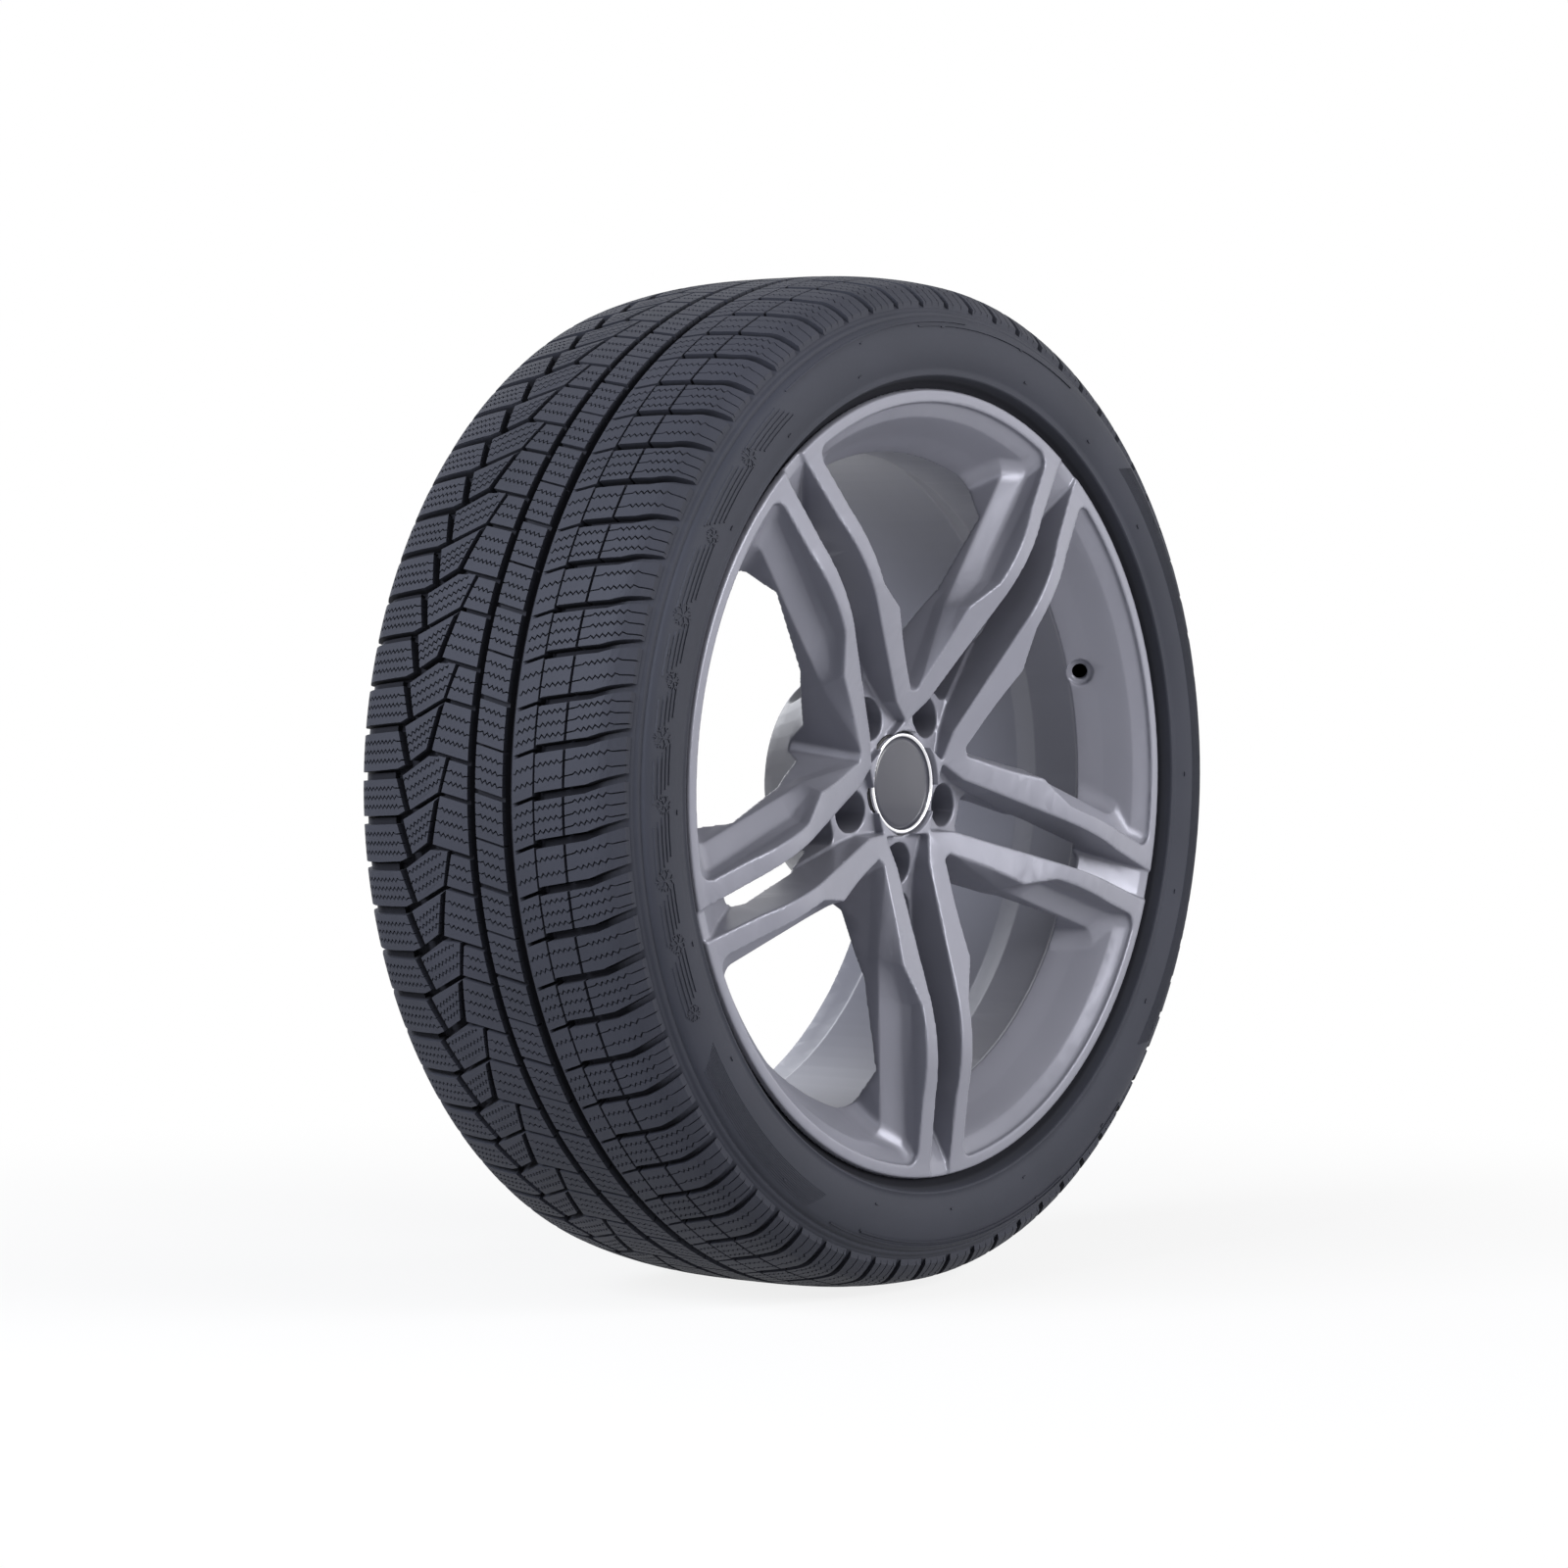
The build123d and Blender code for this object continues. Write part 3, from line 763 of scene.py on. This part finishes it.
def wall_ridge(body, radius, width, height, start, end):
    """A raised line round a stretch of the outer sidewall, with closed ends."""
    section = [
        (radius - width / 2, -RELIEF_FOOT),
        (radius + width / 2, -RELIEF_FOOT),
        (radius + width / 4, height),
        (radius - width / 4, height),
    ]
    ring = [body.verts.new(on_wall(r, start, h)) for r, h in section]
    edges = [body.edges.new(pair) for pair in zip(ring, ring[1:] + ring[:1])]
    steps = max(2, round((end - start) / RIDGE_STEP))
    made = bmesh.ops.spin(body, geom=ring + edges, cent=(0, 0, 0), axis=(0, -1, 0),
                          angle=math.radians(end - start), steps=steps, use_merge=False, use_duplicate=False)
    last = [e for e in made["geom_last"] if isinstance(e, bmesh.types.BMEdge)]
    bmesh.ops.holes_fill(body, edges=edges + last, sides=4)


def wall_bar(body, radius, angle, turn, length, width, height, ahead=0.0, aside=0.0):
    """A short raised bar on the outer sidewall, turned by an angle, its middle moved ahead and aside."""
    bar = bmesh.ops.create_cube(body, size=1.0)["verts"]
    outer = {v for v in bar if v.co.y < 0}
    place = Matrix.Translation(on_wall(radius, angle, 0.0))
    spin = Matrix.Rotation(math.radians(-turn), 4, "Y")
    move = Matrix.Translation((ahead * MM, 0, aside * MM))
    shape = Matrix.Diagonal((length * MM, MM, width * MM, 1))
    bmesh.ops.transform(body, verts=bar, matrix=place @ spin @ move @ shape)
    for v in bar:
        wall = wall_y(math.hypot(v.co.x, v.co.z) / MM)
        v.co.y = -(wall + (height if v in outer else -RELIEF_FOOT)) * MM


def star(body, angle, radius, size):
    """A star with a pair of twigs on each arm."""
    twig = size * TWIG_LENGTH
    root = size * TWIG_PLACE
    lean = math.radians(TWIG_TURN)
    for arm in range(STAR_ARMS):
        turn = angle + 360 / STAR_ARMS * arm
        wall_bar(body, radius, angle, turn, size, ARM_WIDTH, STAR_HEIGHT, ahead=size / 2)
        for side in (-1, 1):
            wall_bar(body, radius, angle, turn + TWIG_TURN * side, twig, TWIG_WIDTH, STAR_HEIGHT,
                     ahead=root * math.cos(lean) + twig / 2, aside=-root * math.sin(lean) * side)


def sidewall_relief():
    """Stripes, stars, ribbed panels, long ridges and vent stubs of the outer sidewall."""
    body = bmesh.new()
    for start, end in STRIPE_GROUPS:
        for k, radius in enumerate(STRIPE_RADII):
            lean = STRIPE_LEAN * (k - 2)
            wall_ridge(body, radius, STRIPE_WIDTH, STRIPE_HEIGHT, start + lean, end + lean)
    for angle, radius, size in STARS:
        star(body, angle, radius, size)
    ribs = int((PANEL_RADII[1] - PANEL_RADII[0]) / PANEL_RIB)
    for start, end in PANELS:
        for k in range(ribs):
            radius = PANEL_RADII[0] + PANEL_RIB * k
            lean = PANEL_LEAN * k
            wall_ridge(body, radius, PANEL_RIB * PANEL_RIB_SHARE, PANEL_HEIGHT, start + lean, end - lean)
    for radius, start, end in LONG_RIDGES:
        wall_ridge(body, radius, *LONG_RIDGE_SIZE, start, end)
    for k in range(VENTS):
        angle = 360 / VENTS * k + VENT_STAGGER * (k % 3)
        wall_bar(body, VENT_RADII[k % 2], angle, angle + 90, *VENT_SIZE)
    bmesh.ops.recalc_face_normals(body, faces=list(body.faces))
    return body


def tyre():
    """The whole tyre in one mesh."""
    tread = tread_unit()
    units = PITCHES // 2
    bmesh.ops.spin(tread, geom=list(tread.verts) + list(tread.edges) + list(tread.faces), cent=(0, 0, 0),
                   axis=(0, 1, 0), angle=FULL_TURN * (1 - 1 / units), steps=units - 1,
                   use_duplicate=True, use_merge=False)
    body = casing()
    pour(body, sidewall_relief())
    pour(tread, body)
    return new_piece("tyre_moulding", tread, rubber(), "tyre_rubber", "tyre")


# Wheel
VOXEL = 0.001
SOFTEN_FACTOR = 0.5
SOFTEN_TURNS = 5
CASTING_TRIANGLES = 190000


def evaluated(piece):
    """An object with its modifiers applied."""
    bpy.context.view_layer.update()
    return piece.evaluated_get(bpy.context.evaluated_depsgraph_get())


def wheel():
    """The casting: the CAD solid remeshed and softened, which rounds its edges as casting and paint do."""
    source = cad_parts["alloy_wheel"].data.copy()
    merged = bmesh.new()
    merged.from_mesh(source)
    bmesh.ops.remove_doubles(merged, verts=list(merged.verts), dist=SAME_PLACE)
    merged.to_mesh(source)
    merged.free()
    rough = bpy.data.objects.new("wheel rough", source)
    bpy.context.scene.collection.objects.link(rough)
    remesh = rough.modifiers.new("cast skin", "REMESH")
    remesh.mode = "VOXEL"
    remesh.voxel_size = VOXEL
    soften = rough.modifiers.new("soft edges", "SMOOTH")
    soften.factor = SOFTEN_FACTOR
    soften.iterations = SOFTEN_TURNS
    skin = evaluated(rough)
    skin.data.calc_loop_triangles()
    thin = rough.modifiers.new("fewer faces", "DECIMATE")
    thin.ratio = min(1.0, CASTING_TRIANGLES / len(skin.data.loop_triangles))
    shaped = bpy.data.meshes.new_from_object(evaluated(rough))
    bpy.data.objects.remove(rough)
    shaped.name = "wheel_casting"
    shaped.shade_smooth()
    return keep_piece("wheel_casting", shaped, wheel_paint(), "wheel_paint", "alloy_wheel")


# Centre cap
CAP_STEPS = 96
RING_WIDTH = 3.3
RING_ROUND = 1.6
RING_ARC_STEPS = 10
DISC_RISE = 1.6
DISC_STEPS = 9


def bright_ring():
    """The rounded bright ring on the rim of the cap."""
    low, high = (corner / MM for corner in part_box("cap_trim_ring"))
    outer = high.x
    inner = outer - RING_WIDTH
    middle = (outer + inner) / 2
    arc = []
    for k in range(RING_ARC_STEPS + 1):
        turn = math.pi * k / RING_ARC_STEPS
        across = low.y + RING_ROUND - RING_ROUND * math.sin(turn)
        arc.append((middle + (outer - middle) * math.cos(turn), across))
    ring = turned([(outer, high.y)] + arc + [(inner, high.y)], CAP_STEPS)
    new_piece("cap_bright_ring", ring, trim_chrome(), "trim_chrome", "cap_trim_ring")


def plain_disc():
    """The plain domed disc inside the bright ring."""
    low, high = (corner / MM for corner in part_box("cap_badge"))
    shares = [k / DISC_STEPS for k in range(DISC_STEPS + 1)]
    dome = [(high.x * share, low.y + DISC_RISE * share ** 2) for share in shares]
    disc = turned(dome + [(high.x, high.y), (0.0, high.y)], CAP_STEPS)
    new_piece("cap_plain_disc", disc, badge_gloss(), "badge_gloss", "cap_badge")


def cap():
    """The centre cap; its body and spring keep their CAD shape."""
    bright_ring()
    plain_disc()
    for node, material in (("cap_body", cap_plastic()), ("cap_spring_ring", spring_steel())):
        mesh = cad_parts[node].data
        mesh.materials.clear()
        mesh.materials.append(material)


# Studio
AMBIENT = 0.03
SKY = (0.93, 0.95, 1.0, 1)
WHITE = (1, 1, 1, 1)
FLOOR_SIZE = 9.0
FLOOR_COLOUR = (0.6, 0.6, 0.61, 1)
FLOOR_ROUGHNESS = 0.9

# Distances from the wheel over which the floor runs out to white, and how white it is at the first
SHADOW_REACH = (0.45, 1.3)
SHADOW_SHARE = 0.84

# Lamps: name, place, size, power, colour
WARM = (1.0, 0.99, 0.98)
COOL = (0.92, 0.95, 1.0)
PALE = (0.96, 0.98, 1.0)
LAMPS = [
    ("front softbox", (0.7, -3.3, 1.2), 1.6, 165, WARM),
    ("side softbox", (2.5, -2.1, 0.9), 2.6, 30, WARM),
    ("left softbox", (-2.4, -1.4, 1.9), 1.6, 16, COOL),
    ("tread softbox", (-2.8, 0.5, 1.4), 1.6, 175, COOL),
    ("rear softbox", (1.4, 3.0, 1.4), 1.8, 22, PALE),
]

# Camera of the photograph
AZIMUTH = -51.75
ELEVATION = 1.9
DISTANCE = 3.4252
OFFSET_RIGHT = -0.01496
OFFSET_UP = -0.00227
SENSOR = 36.0
FOCAL_PIXELS = 4972.0
PHOTO_WIDTH = 1600.0
CLIP_END = 50


def seen_directly(tree):
    """A mask that is 1 for what the camera sees, straight or in a gloss or through glass."""
    path = tree.nodes.new("ShaderNodeLightPath")
    either = number(tree, "MAXIMUM", path.outputs["Is Camera Ray"], path.outputs["Is Glossy Ray"])
    return number(tree, "MAXIMUM", either, path.outputs["Is Transmission Ray"])


def studio_world():
    """White surroundings that light the wheel only softly."""
    world = bpy.data.worlds.new("studio")
    bpy.context.scene.world = world
    world.use_nodes = True
    tree = world.node_tree
    soft = tree.nodes["Background"]
    soft.inputs["Color"].default_value = SKY
    soft.inputs["Strength"].default_value = AMBIENT
    white = tree.nodes.new("ShaderNodeBackground")
    white.inputs["Color"].default_value = WHITE
    white.inputs["Strength"].default_value = 1.0
    mix = tree.nodes.new("ShaderNodeMixShader")
    tree.links.new(seen_directly(tree), mix.inputs["Fac"])
    tree.links.new(soft.outputs[0], mix.inputs[1])
    tree.links.new(white.outputs[0], mix.inputs[2])
    tree.links.new(mix.outputs[0], tree.nodes["World Output"].inputs["Surface"])


def pale_floor():
    """A matt surface that takes the shadow near the tyre and runs out to plain white further off."""
    material, tree, shader = new_material("pale floor")
    shader.inputs["Base Color"].default_value = FLOOR_COLOUR
    shader.inputs["Roughness"].default_value = FLOOR_ROUGHNESS
    shader.inputs["Specular IOR Level"].default_value = 0.0
    place = tree.nodes.new("ShaderNodeTexCoord")
    reach = tree.nodes.new("ShaderNodeVectorMath")
    reach.operation = "LENGTH"
    tree.links.new(place.outputs["Object"], reach.inputs[0])
    fade = ramp(tree, reach.outputs["Value"], *SHADOW_REACH, SHADOW_SHARE, 1.0)
    white = tree.nodes.new("ShaderNodeEmission")
    white.inputs["Color"].default_value = WHITE
    white.inputs["Strength"].default_value = 1.0
    mix = tree.nodes.new("ShaderNodeMixShader")
    tree.links.new(number(tree, "MULTIPLY", fade, seen_directly(tree)), mix.inputs["Fac"])
    tree.links.new(shader.outputs[0], mix.inputs[1])
    tree.links.new(white.outputs[0], mix.inputs[2])
    tree.links.new(mix.outputs[0], tree.nodes["Material Output"].inputs["Surface"])
    return material


def floor():
    """A wide floor under the tyre."""
    body = bmesh.new()
    bmesh.ops.create_grid(body, x_segments=1, y_segments=1, size=FLOOR_SIZE)
    bmesh.ops.translate(body, verts=body.verts, vec=(0, 0, cad_box[0].z))
    mesh = bpy.data.meshes.new("floor")
    body.to_mesh(mesh)
    body.free()
    plane = bpy.data.objects.new("floor", mesh)
    bpy.context.scene.collection.objects.link(plane)
    mesh.materials.append(pale_floor())


def lamp(name, place, size, power, colour):
    """A square soft lamp that faces the wheel."""
    light = bpy.data.lights.new(name, "AREA")
    light.shape = "SQUARE"
    light.size = size
    light.energy = power
    light.color = colour
    holder = bpy.data.objects.new(name, light)
    holder.location = place
    holder.rotation_euler = Vector(place).to_track_quat("Z", "Y").to_euler()
    bpy.context.scene.collection.objects.link(holder)


def camera():
    """The photograph's camera."""
    turn = math.radians(AZIMUTH)
    tilt = math.radians(ELEVATION)
    back = Vector((math.sin(turn) * math.cos(tilt), -math.cos(turn) * math.cos(tilt), math.sin(tilt)))
    right = Vector((math.cos(turn), math.sin(turn), 0))
    up = back.cross(right)
    lens = bpy.data.cameras.new("camera")
    lens.sensor_fit = "HORIZONTAL"
    lens.sensor_width = SENSOR
    lens.lens = SENSOR * FOCAL_PIXELS / PHOTO_WIDTH
    lens.clip_end = CLIP_END
    holder = bpy.data.objects.new("camera", lens)
    facing = Matrix((right, up, back)).transposed().to_4x4()
    place = back * DISTANCE + right * OFFSET_RIGHT + up * OFFSET_UP
    holder.matrix_world = Matrix.Translation(place) @ facing
    bpy.context.scene.collection.objects.link(holder)
    bpy.context.scene.camera = holder


def studio():
    """Surroundings, floor, lamps and camera."""
    studio_world()
    floor()
    for row in LAMPS:
        lamp(*row)
    camera()
    bpy.context.scene.view_settings.view_transform = "Standard"


tyre()
wheel()
cap()
studio()
